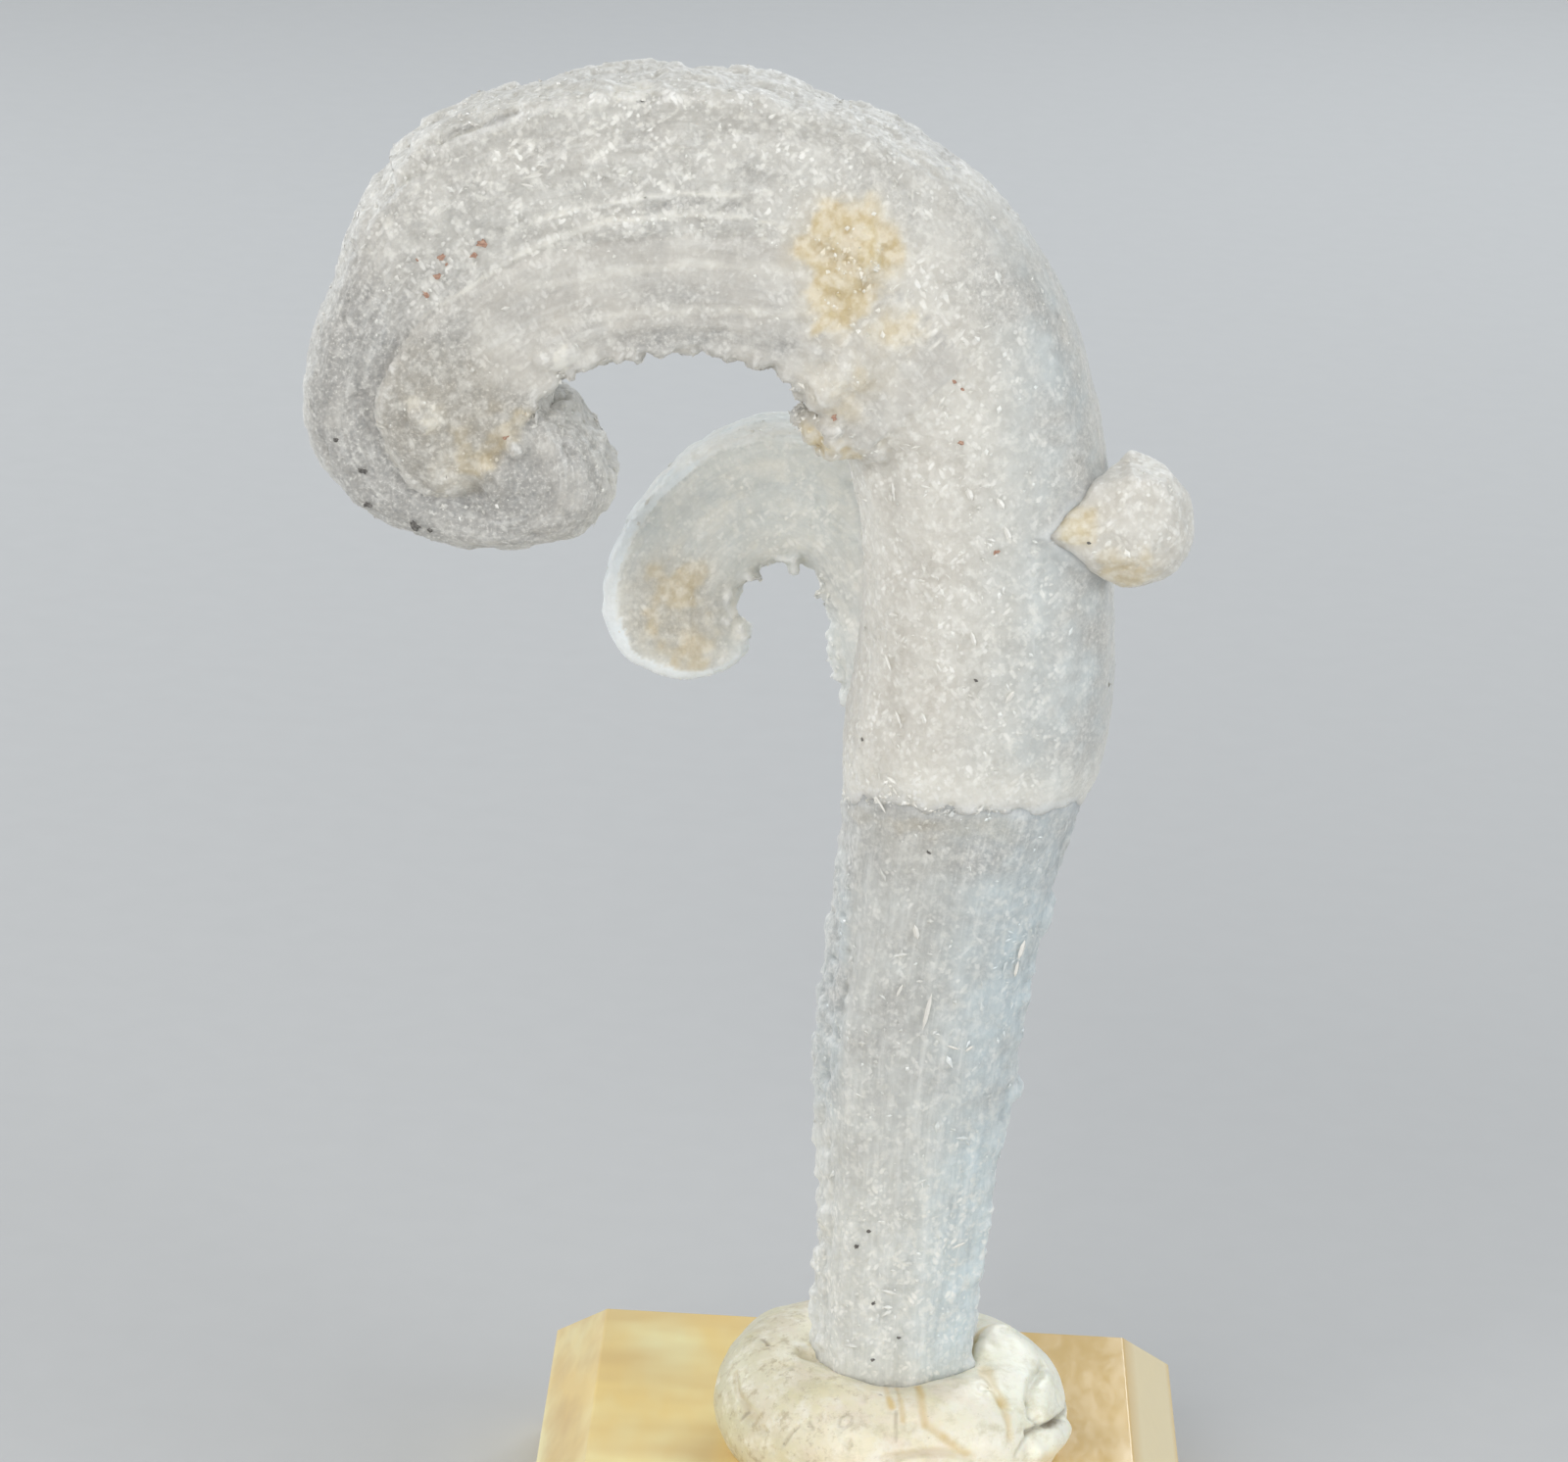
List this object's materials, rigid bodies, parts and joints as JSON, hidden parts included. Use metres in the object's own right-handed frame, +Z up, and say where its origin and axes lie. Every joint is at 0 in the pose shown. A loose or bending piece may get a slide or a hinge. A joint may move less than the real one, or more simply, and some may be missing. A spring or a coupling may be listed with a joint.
{
  "type": "ram horn selenite specimen",
  "caption": "Curled fibrous selenite crystal, a ram's horn with a smaller horn behind it, standing in a ring of putty on a clear bevelled square block.",
  "frame": {"origin": "centre of the block's underside", "axes": "+Z up along the stem, the horn curling over towards -X, the small horn behind it towards +Y, the front facing -Y"},
  "size_m": [0.0706, 0.0508, 0.1201],
  "materials": {
    "selenite": "translucent grainy druse",
    "putty": "soft satin, kneaded",
    "block": "clear polished"
  },
  "bodies": {
    "root": {"selenite_horns": "selenite", "putty": "putty", "block": "block"}
  },
  "joints": []
}
